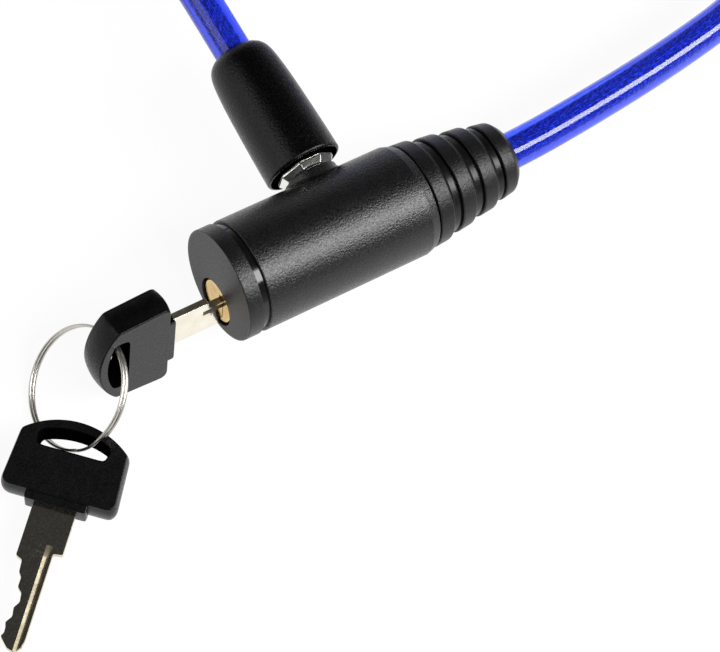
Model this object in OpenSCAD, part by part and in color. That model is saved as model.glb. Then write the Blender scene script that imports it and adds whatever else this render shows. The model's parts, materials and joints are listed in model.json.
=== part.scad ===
// Key-operated cable lock: barrel, key plug, bolt with its sleeve, cable, two keys on a split ring.
// All lengths in millimetres. X runs along the barrel toward the boot, Y along the bolt toward
// its sleeve, Z up from the table. The origin is on the table under the middle of the lock and keys.

/* [Place] */
// Distance of the bolt's axis from the origin along X
bolt_axis_x = 28.8; // [20:0.1:40]
// Distance of the barrel's axis from the origin along Y
barrel_axis_y = 0.3; // [-5:0.1:5]
// Height of the barrel's axis over the table
axis_h = 19; // [12:0.5:30]

/* [Barrel] */
// Outer radius of the barrel
barrel_r = 12; // [11:0.1:16]
// Front face of the barrel, measured from the bolt's axis
face_x = 29.2; // [28:0.1:34]
// Length of the front ring
ring_len = 3.4; // [2:0.1:6]
// Length of the glossy band behind the front ring
band_len = 1.6; // [1:0.1:4]
// How far the glossy band lies under the barrel's surface
band_drop = 0.6; // [0.3:0.05:0.9]
// Length of the shell's rear chamfer
chamfer_len = 2; // [0.5:0.1:3]
// Rear end of the shell
shell_end_x = 16.6; // [15:0.1:24]
// Depth of the shell's rear chamfer
chamfer_drop = 0.6; // [0.2:0.05:0.8]
// Wall of the shell
shell_wall = 1.05; // [1:0.05:1.4]
// Edge break on the barrel's corners
edge_break = 0.35; // [0:0.05:1]
// Depth of the neck that carries the glossy band
neck_drop = 1.2; // [1:0.1:2]

/* [Boss and socket] */
// Radius of the raised boss round the bolt hole
boss_r = 6; // [5.8:0.1:8]
// Height of the boss over the barrel
boss_h = 0.9; // [0.5:0.1:3]
// Wall of the socket liner
liner_wall = 0.95; // [0.7:0.05:1.1]
// Length of the socket liner
liner_len = 5.2; // [4:0.1:8]

/* [Plug] */
// Plug axis, offset along Y from the barrel's axis
plug_y = -1; // [-1.5:0.1:0]
// Face left beside the plug's hole, straight below it
plug_rim = 0.75; // [0.5:0.05:2]
// Radius of the plug
plug_r = 4.5; // [4.4:0.05:4.7]
// How much the plug's head stands out round the plug
head_step = 0.15; // [0.1:0.05:0.3]
// Gap round the plug's head in the front face
face_gap = 0.6; // [0.3:0.05:0.8]
// How far the plug's head lies behind the face
plug_recess = 0.5; // [0:0.1:1]
// Length of the plug's head
plug_head_len = 2.4; // [1.5:0.1:2.6]
// Angle of the keyway from the upright
key_angle = 14.5; // [0:0.5:45]
// Keyway centre, offset across the blade's face
keyway_off = 1.2; // [0:0.1:2]
// Keyway centre, offset along the blade's width
keyway_shift = -0.4; // [-1:0.1:1]
// Number of wafers in the plug
wafer_n = 5; // [2:1:6]
// Thickness of a wafer
wafer_t = 0.8; // [0.5:0.1:0.8]

/* [Key] */
// Distance of the inserted key's tip from the plug's rear
key_tip_gap = 2.9; // [2.4:0.1:3.4]
// Half of the bow's width
bow_half = 11.3; // [8:0.1:14]
// Length of the bow's straight sides
bow_side = 12.2; // [8:0.1:16]
// Radius of the bow's outer arc
bow_arc_r = 18; // [12:0.5:30]
// Thickness of the bow
bow_t = 6.3; // [3:0.1:8]
// Radius of the bow's corners beside the tab
bow_round = 1.5; // [0.5:0.1:3]
// Width of the slot on the key's axis
slot_w = 4.7; // [4.5:0.1:6]
// Radius of the slot's outer arc
slot_arc_r = 16; // [10:0.5:20]
// Half of the slot's length
slot_half = 6.8; // [4:0.1:9]
// Half of the tab's width
tab_half = 6.4; // [4:0.1:9]
// Length of the tab
tab_len = 1.5; // [0.5:0.1:4]
// Thickness of the tab
tab_t = 4.3; // [2:0.1:6]
// Thickness of the blade
blade_t = 1.5; // [1:0.1:3]
// Half of the shank's width
shank_half = 4.35; // [3:0.05:6]
// Half of the width of the blade past the shank
blade_half = 2.95; // [2:0.05:4]
// Length of the blade past the tab
blade_len = 29.6; // [29:0.1:34]
// Length of the shank on its cut side
shank_cut_side = 11.4; // [6:0.1:15]
// Length of the shank on its groove side
shank_groove_side = 8.4; // [4:0.1:15]
// Depth of the milled groove
groove_depth = 0.5; // [0.2:0.1:0.8]

/* [Split ring] */
// Outer radius of the split ring
ring_out_r = 12.6; // [8:0.1:20]
// Radial thickness of its wire
ring_wire = 0.85; // [0.6:0.05:2]
// Thickness of its two turns together
ring_t = 1.8; // [1:0.1:4]

/* [Boot] */
// Length of the boot behind the shell
boot_len = 23.4; // [22:0.1:30]
// Length from one rib of the boot to the next
rib_pitch = 6.1; // [5.5:0.1:6.3]
// Radius of the cable's hole in the boot and in the sleeve
cable_hole_r = 4.05; // [4.05:0.05:4.3]

/* [Bolt and sleeve] */
// Radius of the bolt
bolt_r = 4.2; // [3.9:0.1:4.4]
// Inner end of the bolt past the barrel's axis
bolt_in = 6.5; // [5:0.1:8]
// Width of the bolt's groove
bolt_groove_w = 2.8; // [2.4:0.1:4]
// Radius over the corners of the eight-sided collar
collar_r = 6.4; // [6:0.1:6.8]
// Thickness of the eight-sided part
collar_t = 2.4; // [1.8:0.1:3]
// Length of the collar's front chamfer
collar_chamfer = 1.3; // [0.4:0.1:1.6]
// How far the collar stands out of the sleeve
collar_show = 2.1; // [0.6:0.1:3]
// Length of the sleeve
sleeve_len = 28.4; // [26:0.1:34]
// Radius of the sleeve at its open end
sleeve_r = 8.35; // [8.2:0.05:10]
// Depth of the hollow in the sleeve's open end
hollow_depth = 2; // [1.5:0.1:3]
// Wall of the sleeve round that hollow
hollow_wall = 1.05; // [0.8:0.05:1.3]

/* [Latch] */
// Thickness of the latch plate
latch_t = 1.8; // [1.5:0.1:2]
// Radius of the cam's pin
cam_pin_r = 0.6; // [0.4:0.1:0.8]
// Distance of the cam's pin from the plug's axis
cam_throw = 1.3; // [1:0.1:1.5]

/* [Cable] */
// Radius of the cable's jacket
cable_r = 4; // [3.6:0.1:4]
// Radius of the steel core
core_r = 1.6; // [1.2:0.1:1.6]
// Radius of the hole in the jacket
jacket_hole_r = 1.75; // [1.75:0.05:2.2]
// Radius of the crimped ferrules
ferrule_r = 5; // [4.5:0.1:5.4]
// Radius of the ferrules' cross pins
cross_pin_r = 1; // [0.6:0.1:1.4]

/* [Fits] */
// Radial running clearance of the plug and the bolt
run_fit = 0.05; // [0.01:0.01:0.1]
// Clearance of sliding flat parts
slide_fit = 0.15; // [0.1:0.05:0.3]

/* [Hidden] */
$fn = 72;
ring_x = face_x - ring_len;
band_x = ring_x - band_len;
band_r = barrel_r - band_drop;
neck_r = barrel_r - neck_drop;
shell_end_r = barrel_r - chamfer_drop;
chamfer_x = shell_end_x - chamfer_len;
bore_r = barrel_r - shell_wall;
housing_r = bore_r;
housing_end = shell_end_x - 4.6;
boss_top = barrel_r + boss_h;
bolt_hole_r = bolt_r + run_fit;
socket_depth = bolt_in + 0.5;
liner_r = bolt_hole_r + liner_wall;
liner_in = boss_top - 0.2 - liner_len;
plug_head_r = plug_r + head_step;
face_hole_r = plug_head_r + face_gap;
plug_z = -(barrel_r - face_hole_r - plug_rim);
plug_front = face_x - plug_recess;
head_end = plug_front - plug_head_len;
// Latch, spring and cam, one behind the other from the bolt's hole
latch_wall = 1.35;
latch_back = bolt_hole_r + latch_wall;
latch_front = latch_back + latch_t;
cam_gap = 0.2;
cam_x = latch_front + cam_gap;
cam_t = 1;
cam_r = plug_r - 0.9;
cam_angle = 225;
cam_pin_y = cam_throw * cos(cam_angle);
cam_pin_z = cam_throw * sin(cam_angle);
plug_rear_x = cam_x + cam_t;
tang_len = 2;
tang_w = 3;
tang_t = 1.4;
latch_lift = -2 * cam_pin_z;
latch_half = 2.8;
latch_y0 = plug_y - latch_half;
latch_y1 = plug_y + latch_half;
latch_low = plug_z - 3.2;
latch_top = plug_z + 6;
tongue_gap = 0.3;
groove_gap = 0.5;
groove_y = plug_y;
tongue_w = 2;
tongue_end = 2;
tongue_top = -bolt_hole_r - tongue_gap;
tongue_low = tongue_top - 2.65;
bolt_groove_r = bolt_hole_r + tongue_gap - latch_lift - groove_gap;
spring_top = latch_top + 6.5;
spring_x = (latch_front + latch_back) / 2;
spring_r = 0.7;
spring_wire = 0.2;
spring_curls = 6;
// Retaining pin, wafers and the strip that presses them
pin_r = 0.6;
pin_reach = 5;
pin_x = band_x - 2.2;
plug_groove_r = plug_r - 0.7;
pin_z = plug_z + plug_groove_r + pin_r + run_fit;
key_x = plug_rear_x + key_tip_gap + tab_len + blade_len;
key_seat_x = plug_rear_x + key_tip_gap - 0.2;
wafer_first = pin_x - 2;
wafer_last = plug_rear_x + 3.6;
wafer_pitch = (wafer_first - wafer_last - wafer_t) / (wafer_n - 1);
wafer_fit = 0.05;
window_half = blade_t / 2 + 0.15;
strip_off = keyway_off - 2.8;
strip_t = 0.3;
strip_w = 1.2;
strip_end = 0.6;
// Cable ends
ferrule_in = housing_end - 6;
ferrule_end = ferrule_in + 20;
cross_pin_x = ferrule_in + 3;
core_in = ferrule_in + 6;
boot_gap = 0.4;
rib_x = shell_end_x + boot_gap;
boot_end_x = shell_end_x + boot_len;
collar_y = boss_top + 0.2;
sleeve_y = collar_y + collar_show;
sleeve_end_y = sleeve_y + sleeve_len;
hollow_r = sleeve_r - hollow_wall;
hollow_y = sleeve_y + hollow_depth;
sleeve_ferrule_y = sleeve_y + 8.8;
sleeve_pin_y = sleeve_ferrule_y - 3;
sleeve_pin_half = 6.5;
sleeve_jacket_y = sleeve_ferrule_y + 12;
sleeve_core_y = sleeve_ferrule_y + 4;
// Middle of the inserted key's shoulder, from the crossing of the axes
key_at = [
    -key_x,
    plug_y + keyway_shift * sin(key_angle) - keyway_off * cos(key_angle),
    plug_z + keyway_shift * cos(key_angle) + keyway_off * sin(key_angle)
];
// The bow's arcs: their common centre, and the slot's outer wall on the key's axis
bow_arc_x = sqrt(bow_arc_r * bow_arc_r - bow_half * bow_half) - bow_side;
slot_wall = bow_arc_x - slot_arc_r;
// Split ring: its centre from the slot's outer wall, its lean and its heading
ring_at = key_at + [slot_wall - 5.461, -1.64, -2.85];
ring_lean = 47.5;
ring_heading = 165.5;
// Spare key: the dip of its tip, the heading of its blade, and its slot's wall from the ring's centre
spare_dip = 7.5;
spare_heading = -134.5;
spare_dir = [
    cos(spare_dip) * cos(spare_heading),
    cos(spare_dip) * sin(spare_heading),
    -sin(spare_dip)
];
spare_at = ring_at + [-3.79, -7.766, -3.398] - slot_wall * spare_dir;
// Coil: centre, radius, start and end angle, and the angles between which it climbs a layer
coil_c = [70, 98];
coil_r = 42;
coil_from = 13;
coil_to = 450;
coil_steps = 29;
coil_low = 3.85;
coil_high = 12.45;
climb_from = 270;
climb_to = 335;
coil_run = 8;
split_gap = 0.3;
coil_in_dir = [cos(coil_from + 90), sin(coil_from + 90), 0];
coil_out_dir = [-1, 0, 0];
coil_first = [coil_c[0] + coil_r * cos(coil_from), coil_c[1] + coil_r * sin(coil_from), coil_low];
coil_start = coil_first - coil_run * coil_in_dir;
coil_end = [coil_c[0] - coil_run, coil_c[1] + coil_r, coil_high];
// Cable route, measured from the crossing of the axes in X and Y and from the table in Z
lead_route = [
    [ferrule_end, 0, axis_h],
    [34, 0, axis_h],
    [boot_end_x, 0, axis_h],
    [49, 0.4, 18.9],
    [57, 1.1, 18.7],
    [65.5, 2, 18.3],
    [74, 3, 17.8],
    [83, 4.3, 17.1],
    [92, 5.8, 16.3],
    [100.5, 7.4, 15.6],
    [109, 9.3, 15],
    [118.3, 13.3, 14],
    [126.9, 20.6, 12.7],
    [132.9, 30.4, 11.1],
    [135.2, 42, 9.2],
    [133.4, 54, 7.4],
    [128.4, 65, 5.8],
    [122.3, 76, 4.6],
    [116.6, 87.5, 3.95],
    coil_start
];
function ease(k) = k <= 0 ? 0 : k >= 1 ? 1 : k * k * (3 - 2 * k);
function coil_z(a) =
    coil_low + (coil_high - coil_low) * ease((a - climb_from) / (climb_to - climb_from));
function coil_point(a) =
    [coil_c[0] + coil_r * cos(a), coil_c[1] + coil_r * sin(a), coil_z(a)];
coil_route = concat(
    [coil_start],
    [for (i = [0 : coil_steps]) coil_point(coil_from + (coil_to - coil_from) * i / coil_steps)],
    [coil_end]
);
tail_route = [
    [coil_end[0] - split_gap, coil_end[1], coil_high],
    [53.5, 140, 12.5],
    [43, 138.5, 12.6],
    [32.5, 134.5, 12.8],
    [24, 127.5, 13],
    [17.5, 119, 13.4],
    [11.5, 108.5, 14],
    [5.5, 98, 14.9],
    [2.5, 91.5, 15.5],
    [0.5, 84.5, 16.4],
    [0, 78, 17.2],
    [0, 68, 18.4],
    [0, 58, 18.9],
    [0, 50, axis_h],
    [0, sleeve_end_y, axis_h],
    [0, sleeve_jacket_y, axis_h]
];
tail_dir = [0, -1, 0];
lead_dir = [1, 0, 0];

function unit(v) = v / norm(v);
function tangent(p, i, t0, t1) =
    i == 0 ? t0
    : i == len(p) - 1 ? t1
    : unit(unit(p[i] - p[i - 1]) + unit(p[i + 1] - p[i]));
function ring_pt(c, t, r, a) =
    let (s = unit(cross(t, [0, 0, 1])), u = cross(s, t))
    c + r * (cos(a) * s + sin(a) * u);
function skin(p, r, n, t0, t1) = [
    for (i = [0 : len(p) - 1])
        for (k = [0 : n - 1])
            ring_pt(p[i], tangent(p, i, t0, t1), r, 360 * k / n)
];
function side_faces(m, n, o, flip) = [
    for (i = [0 : m - 2])
        for (k = [0 : n - 1])
            let (
                a = o + i * n + k,
                b = o + i * n + (k + 1) % n,
                c = a + n,
                d = b + n
            )
            for (f = flip ? [[a, b, d], [a, d, c]] : [[a, d, b], [a, c, d]])
                f
];
function end_faces(a0, b0, n, flip) = [
    for (k = [0 : n - 1])
        let (
            a = a0 + k,
            b = a0 + (k + 1) % n,
            c = b0 + k,
            d = b0 + (k + 1) % n
        )
        for (f = flip ? [[a, d, b], [a, c, d]] : [[a, b, d], [a, d, c]])
            f
];
function cap_faces(o, n, flip) = [
    for (k = [1 : n - 2])
        flip ? [o, o + k + 1, o + k] : [o, o + k, o + k + 1]
];

// A hollow tube along a route
module pipe(p, r, h, n, t0, t1) {
    m = len(p);
    inner = m * n;
    polyhedron(
        points = concat(skin(p, r, n, t0, t1), skin(p, h, n, t0, t1)),
        faces = concat(
            side_faces(m, n, 0, false),
            side_faces(m, n, inner, true),
            end_faces(0, inner, n, false),
            end_faces((m - 1) * n, inner + (m - 1) * n, n, true)
        )
    );
}

// A solid rod along a route
module rod(p, r, n, t0, t1) {
    m = len(p);
    polyhedron(
        points = skin(p, r, n, t0, t1),
        faces = concat(
            side_faces(m, n, 0, false),
            cap_faces(0, n, false),
            cap_faces((m - 1) * n, n, true)
        )
    );
}

// Least gap of the coil to itself, from its points
function seg_dist(p, a, b) =
    let (d = b - a, k = max(0, min(1, ((p - a) * d) / (d * d))))
    norm(p - a - k * d);
coil_gap = min([
    for (i = [0 : len(coil_route) - 1])
        for (j = [0 : len(coil_route) - 2])
            if (abs(i - j) > 8)
                seg_dist(coil_route[i], coil_route[j], coil_route[j + 1])
]) - 2 * cable_r;
echo(coil_gap = coil_gap);
function path_len(p) = [
    for (i = [1 : len(p) - 1]) norm(p[i] - p[i - 1])
] * [for (i = [1 : len(p) - 1]) 1];
echo(
    lead_free = path_len(lead_route) - (boot_end_x - ferrule_end),
    coil = path_len(coil_route),
    tail_free = path_len(tail_route) - (sleeve_end_y - sleeve_jacket_y)
);

// Moves what follows to the crossing of the barrel's and the bolt's axes
module at_lock() {
    translate([bolt_axis_x, barrel_axis_y, axis_h]) children();
}

// Moves a cable route's frame to the row's frame
module on_table() {
    translate([bolt_axis_x, barrel_axis_y, 0]) children();
}

// A body of revolution round the barrel's axis from [radius, x] points
module turned_x(points) {
    at_lock() rotate([0, 90, 0]) rotate_extrude() polygon(points);
}

// A body of revolution round the bolt's axis from [radius, y] points
module turned_y(points) {
    at_lock() rotate([-90, 0, 0]) rotate_extrude() polygon(points);
}

// A cylinder along X, in the lock's frame
module rod_x(r, x0, x1) {
    translate([x0, 0, 0]) rotate([0, 90, 0]) cylinder(r = r, h = x1 - x0);
}

// A cylinder along Y, in the lock's frame
module rod_y(r, y0, y1) {
    translate([0, y0, 0]) rotate([-90, 0, 0]) cylinder(r = r, h = y1 - y0);
}

// A cylinder along Z, in the lock's frame
module rod_z(r, z0, z1) {
    translate([0, 0, z0]) cylinder(r = r, h = z1 - z0);
}

// A box between two corners
module span_box(a, b) {
    translate(a) cube(b - a);
}

// The plug's frame: X along the plug, Y along the blade's width, Z across the blade's face
module at_plug() {
    at_lock() translate([0, plug_y, plug_z]) rotate([90 - key_angle, 0, 0]) children();
}

// The pin that holds the plug by its groove, in the lock's frame
module retaining_pin() {
    translate([-pin_x, 0, pin_z]) rod_y(pin_r, plug_y - pin_reach, plug_y + pin_reach);
}

// The cross pin of the barrel's ferrule, in the lock's frame
module cross_pin(reach) {
    translate([cross_pin_x, 0, 0]) rod_z(cross_pin_r, -reach, reach);
}

// The cross pin of the sleeve's bolt, in the lock's frame
module tail_pin() {
    translate([0, sleeve_pin_y, 0]) rod_x(cross_pin_r, -sleeve_pin_half, sleeve_pin_half);
}

module body_shell() {
    color([0.05, 0.05, 0.055])
    difference() {
        union() {
            turned_x([
                [bore_r, -band_x],
                [barrel_r - edge_break, -band_x],
                [barrel_r, -band_x + edge_break],
                [barrel_r, chamfer_x],
                [shell_end_r, shell_end_x],
                [bore_r, shell_end_x]
            ]);
            difference() {
                turned_y([
                    [0, liner_in],
                    [boss_r, liner_in],
                    [boss_r, boss_top - edge_break],
                    [boss_r - edge_break, boss_top],
                    [0, boss_top]
                ]);
                at_lock() rod_x(bore_r, -band_x, shell_end_x);
            }
        }
        at_lock() rod_y(liner_r, 0, boss_top + 1);
    }
}

module front_ring() {
    color([0.09, 0.09, 0.095])
    difference() {
        turned_x([
            [0, -face_x],
            [barrel_r - edge_break, -face_x],
            [barrel_r, -face_x + edge_break],
            [barrel_r, -ring_x - 0.2],
            [barrel_r - 0.2, -ring_x],
            [neck_r, -ring_x],
            [neck_r, -band_x],
            [0, -band_x]
        ]);
        at_lock() translate([0, plug_y, plug_z]) {
            rod_x(face_hole_r, -face_x - 1, -head_end);
            rod_x(plug_r + run_fit, -face_x - 1, -band_x + 1);
        }
    }
}

module groove_band() {
    color([0.03, 0.03, 0.035])
    turned_x([
        [neck_r, -ring_x],
        [band_r, -ring_x],
        [band_r, -band_x],
        [neck_r, -band_x]
    ]);
}

module lock_housing() {
    color([0.6, 0.61, 0.63])
    difference() {
        at_lock() rod_x(housing_r, -band_x, housing_end);
        at_lock() {
            translate([0, plug_y, plug_z]) {
                rod_x(plug_r + run_fit, -band_x - 1, -plug_rear_x);
                rod_x(cam_r + slide_fit, -plug_rear_x - 0.1, -latch_front);
            }
            rod_y(bolt_hole_r, -socket_depth, barrel_r + 1);
            rod_y(liner_r, liner_in, barrel_r + 1);
            // latch plate's pocket, with room for its lift
            span_box(
                [-latch_front, latch_y0 - slide_fit, latch_low - slide_fit],
                [-latch_back + slide_fit, latch_y1 + slide_fit, latch_top + latch_lift + slide_fit]
            );
            // tongue's slot under the bolt
            span_box(
                [-latch_back, groove_y - tongue_w / 2 - slide_fit, tongue_low - slide_fit],
                [tongue_end + slide_fit, groove_y + tongue_w / 2 + slide_fit, 0]
            );
            // spring's pocket over the plate
            translate([-spring_x, groove_y, 0])
                rod_z(spring_r + spring_wire + 0.2, latch_top, spring_top);
            rod_x(ferrule_r, ferrule_in, housing_end + 1);
            cross_pin(bore_r);
            retaining_pin();
        }
    }
}

module socket_liner() {
    color([0.7, 0.7, 0.72])
    turned_y([
        [bolt_hole_r, liner_in],
        [liner_r, liner_in],
        [liner_r, liner_in + liner_len],
        [bolt_hole_r + 0.3, liner_in + liner_len],
        [bolt_hole_r, liner_in + liner_len - 0.3]
    ]);
}

module plug_pin() {
    color([0.72, 0.72, 0.74])
    at_lock() retaining_pin();
}

// One rib of the boot and the valley behind it
function boot_rib(r, x) = [
    [r - 0.3, x],
    [r, x + 0.3],
    [r - 0.3, x + 3.4],
    [r - 1.2, x + 4.2],
    [r - 1.5, x + rib_pitch]
];

module cable_boot() {
    color([0.07, 0.07, 0.075])
    difference() {
        turned_x(concat(
            [
                [0, housing_end],
                [bore_r, housing_end],
                [bore_r, shell_end_x],
                [bore_r - 0.45, shell_end_x],
                [bore_r - 0.45, rib_x]
            ],
            boot_rib(barrel_r - 0.65, rib_x),
            boot_rib(barrel_r - 1.5, rib_x + rib_pitch),
            boot_rib(barrel_r - 2.5, rib_x + 2 * rib_pitch),
            [
                [barrel_r - 3.95, rib_x + 3 * rib_pitch],
                [barrel_r - 3.65, rib_x + 3 * rib_pitch + 0.3],
                [barrel_r - 4.1, boot_end_x - 2],
                [barrel_r - 4.6, boot_end_x - 1],
                [barrel_r - 5.4, boot_end_x - 0.3],
                [barrel_r - 6.4, boot_end_x],
                [0, boot_end_x]
            ]
        ));
        at_lock() {
            rod_x(ferrule_r, housing_end - 1, ferrule_end);
            rod_x(cable_hole_r, ferrule_end - 1, boot_end_x + 1);
        }
    }
}

module anchor_ferrule() {
    color([0.66, 0.66, 0.68])
    difference() {
        at_lock() rod_x(ferrule_r, ferrule_in, ferrule_end);
        at_lock() rod_x(jacket_hole_r, core_in, ferrule_end + 1);
        at_lock() cross_pin(bore_r);
    }
}

module anchor_pin() {
    color([0.75, 0.75, 0.77])
    at_lock() cross_pin(bore_r - 1.4);
}

// The keyway's frame inside the plug's frame
module at_keyway() {
    translate([0, keyway_shift, keyway_off]) children();
}

module wafer_shape(x0, t, grow) {
    intersection() {
        rod_x(plug_r - 0.05, x0 - 0.1, x0 + t + 0.1);
        span_box([x0, -4.2, -2.2 - grow], [x0 + t, 4.2, 3.2 + grow]);
    }
}

module strip_box(grow) {
    span_box(
        [-wafer_first - strip_end - grow, -strip_w / 2 - grow, strip_off - strip_t / 2 - grow],
        [-wafer_last + strip_end + grow, strip_w / 2 + grow, strip_off + strip_t / 2 + grow]
    );
}

// The cam's tang and its socket in the plug's rear
module tang_box(front) {
    span_box([-plug_rear_x - tang_len, -tang_w / 2, -tang_t / 2], [front, tang_w / 2, tang_t / 2]);
}

module key_plug() {
    color([0.82, 0.65, 0.33])
    difference() {
        at_plug() difference() {
            union() {
                rod_x(plug_head_r, -plug_front, -head_end);
                rod_x(plug_r, -head_end, -plug_rear_x);
            }
            at_keyway() span_box(
                [-plug_front - 1, -blade_half - 0.1, -blade_t / 2 - 0.1],
                [-key_seat_x, blade_half + 0.1, blade_t / 2 + 0.1]
            );
            // retaining groove
            difference() {
                rod_x(plug_r + 1, -pin_x - pin_r - 0.05, -pin_x + pin_r + 0.05);
                rod_x(plug_groove_r, -pin_x - 1, -pin_x + 1);
            }
            for (i = [0 : wafer_n - 1])
                wafer_shape(-wafer_first + wafer_pitch * i - wafer_fit, wafer_t + 2 * wafer_fit, wafer_fit);
            strip_box(wafer_fit);
            // socket of the cam's tang
            tang_box(-plug_rear_x + 1);
        }
    }
}

module wafers() {
    color([0.8, 0.62, 0.3])
    at_plug() difference() {
        union() {
            for (i = [0 : wafer_n - 1])
                wafer_shape(-wafer_first + wafer_pitch * i, wafer_t, 0);
        }
        at_keyway() span_box(
            [-wafer_first - 1, -blade_half - 0.2, -window_half],
            [-wafer_last + 1, blade_half + 0.2, window_half]
        );
        strip_box(wafer_fit);
    }
}

module wafer_spring() {
    color([0.75, 0.75, 0.76])
    at_plug() strip_box(0);
}

module plug_cam() {
    color([0.68, 0.68, 0.7])
    union() {
        at_lock() translate([0, plug_y, plug_z]) {
            rod_x(cam_r, -plug_rear_x, -cam_x);
            translate([0, cam_pin_y, cam_pin_z])
                rod_x(cam_pin_r, -cam_x - 0.5, -latch_back - 0.2);
        }
        at_plug() tang_box(-plug_rear_x + cam_t / 2);
    }
}

module latch() {
    color([0.62, 0.62, 0.65])
    at_lock() difference() {
        union() {
            span_box([-latch_front, latch_y0, latch_low], [-latch_back, latch_y1, latch_top]);
            span_box(
                [-latch_back - 0.5, groove_y - tongue_w / 2, tongue_low],
                [tongue_end, groove_y + tongue_w / 2, tongue_top]
            );
        }
        // slot of the cam's pin
        span_box(
            [-latch_front - 1, plug_y - cam_throw - cam_pin_r - 0.15, plug_z + cam_pin_z - cam_pin_r - 0.1],
            [-latch_back - 0.15, plug_y + cam_pin_y + cam_pin_r + 0.12, plug_z + cam_pin_z + cam_pin_r + 0.1]
        );
    }
}

// The latch's spring, a helix of closed section
spring_n = 6;
spring_ring = 8;
spring_low = axis_h + latch_top + spring_wire;
spring_high = axis_h + spring_top - spring_wire;
spring_at = [-spring_x, groove_y];
spring_route = [
    for (i = [0 : spring_curls * spring_ring])
        [
            spring_at[0] + spring_r * cos(360 * i / spring_ring),
            spring_at[1] + spring_r * sin(360 * i / spring_ring),
            spring_low + (spring_high - spring_low) * i / (spring_curls * spring_ring)
        ]
];

module latch_spring() {
    color([0.75, 0.75, 0.76])
    on_table() rod(spring_route, spring_wire, spring_n, [0, 1, 0], [0, 1, 0]);
}

// Key frame: X from the shoulder toward the tip, Y across the bow, Z out of the face
module key_blade_shape() {
    base = tab_len;
    tip = base + blade_len;
    difference() {
        translate([0, 0, -blade_t / 2]) linear_extrude(blade_t) polygon([
            [-6, -3],
            [base - 0.4, -3],
            [base - 0.4, -shank_half],
            [base + shank_cut_side, -shank_half],
            [base + shank_cut_side + 0.3, -blade_half],
            [base + 13.8, -blade_half + 0.1],
            [base + 14.6, -blade_half + 0.8],
            [base + 15.4, -blade_half + 0.8],
            [base + 16.6, -blade_half + 0.3],
            [base + 17.6, -blade_half + 1.3],
            [base + 18.4, -blade_half + 1.3],
            [base + 20.2, -blade_half + 0.7],
            [base + 21.2, -blade_half + 1.4],
            [base + 22, -blade_half + 1.4],
            [base + 23.8, -blade_half + 0.4],
            [base + 24.8, -blade_half + 1],
            [base + 25.6, -blade_half + 0.9],
            [tip - 2.8, -blade_half + 0.2],
            [tip - 0.4, -0.4],
            [tip, 0.4],
            [tip - 0.6, 1.4],
            [tip - 2, 2],
            [tip - 3.2, blade_half],
            [base + shank_groove_side + 0.3, blade_half],
            [base + shank_groove_side, shank_half],
            [base - 0.4, shank_half],
            [base - 0.4, 3],
            [-6, 3]
        ]);
        // milled groove on the face
        translate([0, 0, blade_t / 2 - groove_depth]) linear_extrude(1) polygon([
            [base + 7.2, 0.9],
            [base + 8.2, 0.6],
            [tip + 1, 0.6],
            [tip + 1, 1.9],
            [base + 7.6, 1.9]
        ]);
    }
}

module key_bow_shape() {
    difference() {
        union() {
            intersection() {
                translate([bow_arc_x, 0, -bow_t / 2]) cylinder(r = bow_arc_r, h = bow_t, $fn = 144);
                union() {
                    span_box([-30, -bow_half, -bow_t / 2], [-bow_round, bow_half, bow_t / 2]);
                    span_box([-30, bow_round - bow_half, -bow_t / 2], [0, bow_half - bow_round, bow_t / 2]);
                    for (side = [-1, 1])
                        translate([-bow_round, side * (bow_half - bow_round), -bow_t / 2])
                            cylinder(r = bow_round, h = bow_t, $fn = 72);
                }
            }
            span_box([-1, -tab_half, -tab_t / 2], [tab_len, tab_half, tab_t / 2]);
        }
        intersection() {
            translate([bow_arc_x, 0, -bow_t]) cylinder(r = slot_arc_r, h = 2 * bow_t, $fn = 144);
            span_box([-30, -slot_half, -bow_t], [slot_wall + slot_w, slot_half, bow_t]);
        }
        // seat of the blade
        span_box([-6, -3, -blade_t / 2], [tab_len - 0.4, 3, blade_t / 2]);
        span_box([tab_len - 0.4, -shank_half, -blade_t / 2], [tab_len + 1, shank_half, blade_t / 2]);
    }
}

module at_key() {
    at_plug() at_keyway() translate([-key_x, 0, 0]) children();
}

module at_spare() {
    at_lock() translate(spare_at) rotate([0, spare_dip, spare_heading]) children();
}

module key_blade() {
    color([0.78, 0.76, 0.7]) at_key() key_blade_shape();
}

module key_bow() {
    color([0.05, 0.05, 0.055]) at_key() key_bow_shape();
}

module spare_blade() {
    color([0.78, 0.76, 0.7]) at_spare() key_blade_shape();
}

module spare_bow() {
    color([0.05, 0.05, 0.055]) at_spare() key_bow_shape();
}

// Two turns of flat wire, with the slit at each free end
module split_ring() {
    r0 = ring_out_r - ring_wire;
    h = ring_t / 2;
    color([0.8, 0.8, 0.8])
    at_lock() translate(ring_at) rotate([0, ring_lean, ring_heading]) difference() {
        rotate_extrude($fn = 144) polygon([
            [r0 + 0.15, -h],
            [ring_out_r - 0.2, -h],
            [ring_out_r, -h + 0.2],
            [ring_out_r, -0.12],
            [ring_out_r - 0.15, 0],
            [ring_out_r, 0.12],
            [ring_out_r, h - 0.2],
            [ring_out_r - 0.2, h],
            [r0 + 0.15, h],
            [r0, h - 0.15],
            [r0, 0.12],
            [r0 + 0.15, 0],
            [r0, -0.12],
            [r0, -h + 0.15]
        ]);
        rotate([0, 0, 60]) span_box([r0 - 1, -0.2, 0.1], [ring_out_r + 1, 0.2, h + 1]);
        rotate([0, 0, 95]) span_box([r0 - 1, -0.2, -h - 1], [ring_out_r + 1, 0.2, -0.1]);
    }
}

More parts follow.
